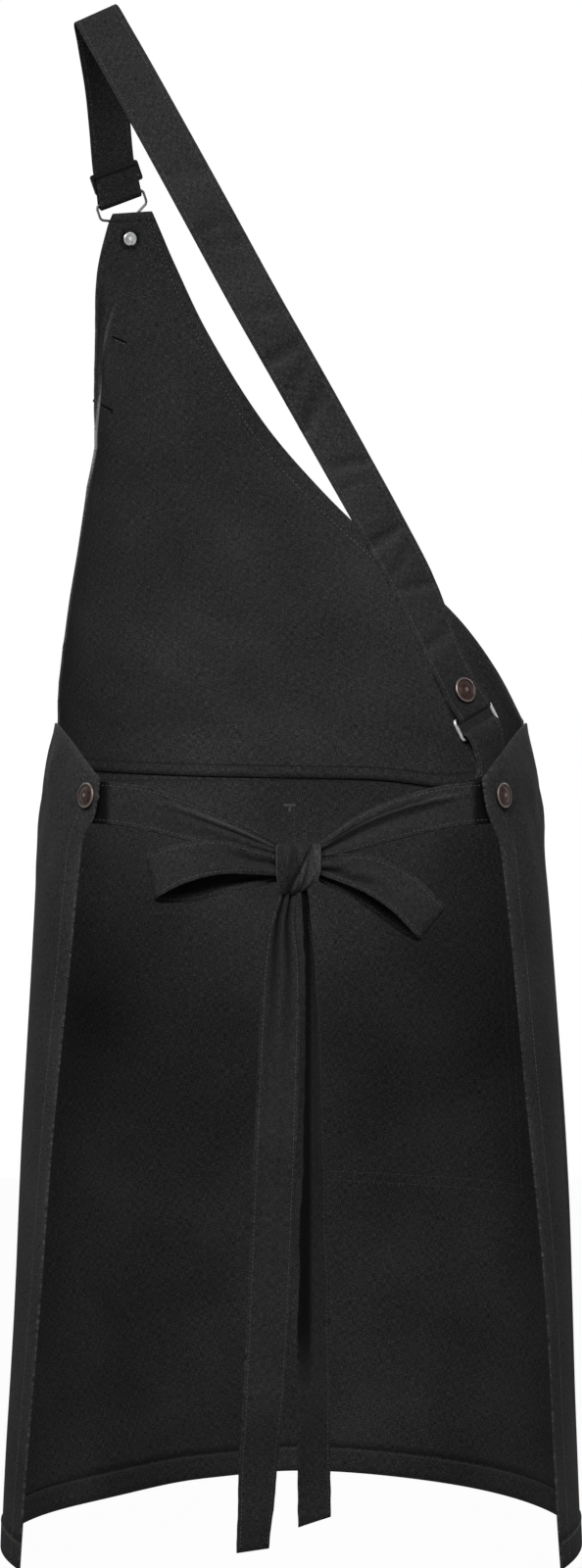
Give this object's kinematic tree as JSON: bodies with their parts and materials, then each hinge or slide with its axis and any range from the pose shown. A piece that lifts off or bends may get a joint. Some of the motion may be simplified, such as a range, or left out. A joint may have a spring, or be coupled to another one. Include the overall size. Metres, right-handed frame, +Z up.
{
  "type": "bib apron",
  "caption": "Black cloth bib apron with a one-shoulder bib, a hooked shoulder strap, a ring at the hip, a front pocket and waist ties in a bow.",
  "frame": {"origin": "centre of the waist that the apron is tied round", "axes": "+Z up along the wearer, +Y towards the wearer's front, +X towards the wearer's right"},
  "size_m": [0.4055, 0.3385, 1.0896],
  "materials": {
    "apron_cloth": "matt black twill",
    "strap_cloth": "matt black twill, doubled and edge stitched",
    "bronze_button": "dark antique bronze",
    "nickel_plate": "nickel plate",
    "black_metal": "black lacquer"
  },
  "bodies": {
    "apron": {"skirt_panel": "apron_cloth", "bib_panel": "apron_cloth", "front_pocket": "apron_cloth", "shoulder_strap": "strap_cloth", "hip_tab": "strap_cloth", "tie_left": "strap_cloth", "tie_right": "strap_cloth", "bow_knot": "strap_cloth", "bow_loop_left": "strap_cloth", "bow_loop_right": "strap_cloth", "bib_tack": "nickel_plate", "strap_tack": "nickel_plate", "hip_tack_left": "nickel_plate", "hip_tack_right": "nickel_plate"},
    "slider": {"strap_slider": "black_metal"},
    "hook": {"wire_hook": "nickel_plate"},
    "ring": {"hip_ring": "nickel_plate"},
    "tail_left": {"tie_tail_left": "strap_cloth"},
    "tail_right": {"tie_tail_right": "strap_cloth"},
    "cap_bib": {"bib_button": "bronze_button"},
    "cap_strap": {"strap_button": "bronze_button"},
    "cap_hip_left": {"hip_button_left": "bronze_button"},
    "cap_hip_right": {"hip_button_right": "bronze_button"}
  },
  "joints": [
    {"name": "tail_left_swing", "type": "hinge", "parent": "apron", "child": "tail_left", "pos_m": [0, -0.126, -0.07], "axis": [1, 0, 0], "range_deg": [-30, 15]},
    {"name": "tail_right_swing", "type": "hinge", "parent": "apron", "child": "tail_right", "pos_m": [0, -0.126, -0.07], "axis": [1, 0, 0], "range_deg": [-30, 15]},
    {"name": "slider_slide", "type": "slide", "parent": "apron", "child": "slider", "axis": [-0.1409, -0.2226, 0.9647], "range_m": [-0.0025, 0.008]},
    {"name": "hook_turn", "type": "hinge", "parent": "apron", "child": "hook", "pos_m": [-0.12588, 0.05934, 0.42973], "axis": [0.8804, 0.2759, 0.3857], "range_deg": [-2, 2]},
    {"name": "ring_turn", "type": "hinge", "parent": "apron", "child": "ring", "pos_m": [0.12937, -0.1004, 0.03633], "axis": [0.6759, 0.6206, 0.3975], "range_deg": [-3, 3]},
    {"name": "bib_button_turn", "type": "hinge", "parent": "apron", "child": "cap_bib", "pos_m": [-0.11859, 0.06429, 0.40073], "axis": [-0.3583, 0.9198, 0.1599], "continuous": true},
    {"name": "strap_button_turn", "type": "hinge", "parent": "apron", "child": "cap_strap", "pos_m": [0.1169, -0.10416, 0.06341], "axis": [0.5838, -0.7801, 0.2251], "continuous": true},
    {"name": "hip_left_button_turn", "type": "hinge", "parent": "apron", "child": "cap_hip_left", "pos_m": [-0.13667, -0.1142, -0.00795], "axis": [-0.7568, -0.6452, 0.1048], "continuous": true},
    {"name": "hip_right_button_turn", "type": "hinge", "parent": "apron", "child": "cap_hip_right", "pos_m": [0.14241, -0.10715, -0.00795], "axis": [0.7894, -0.605, 0.1036], "continuous": true}
  ]
}
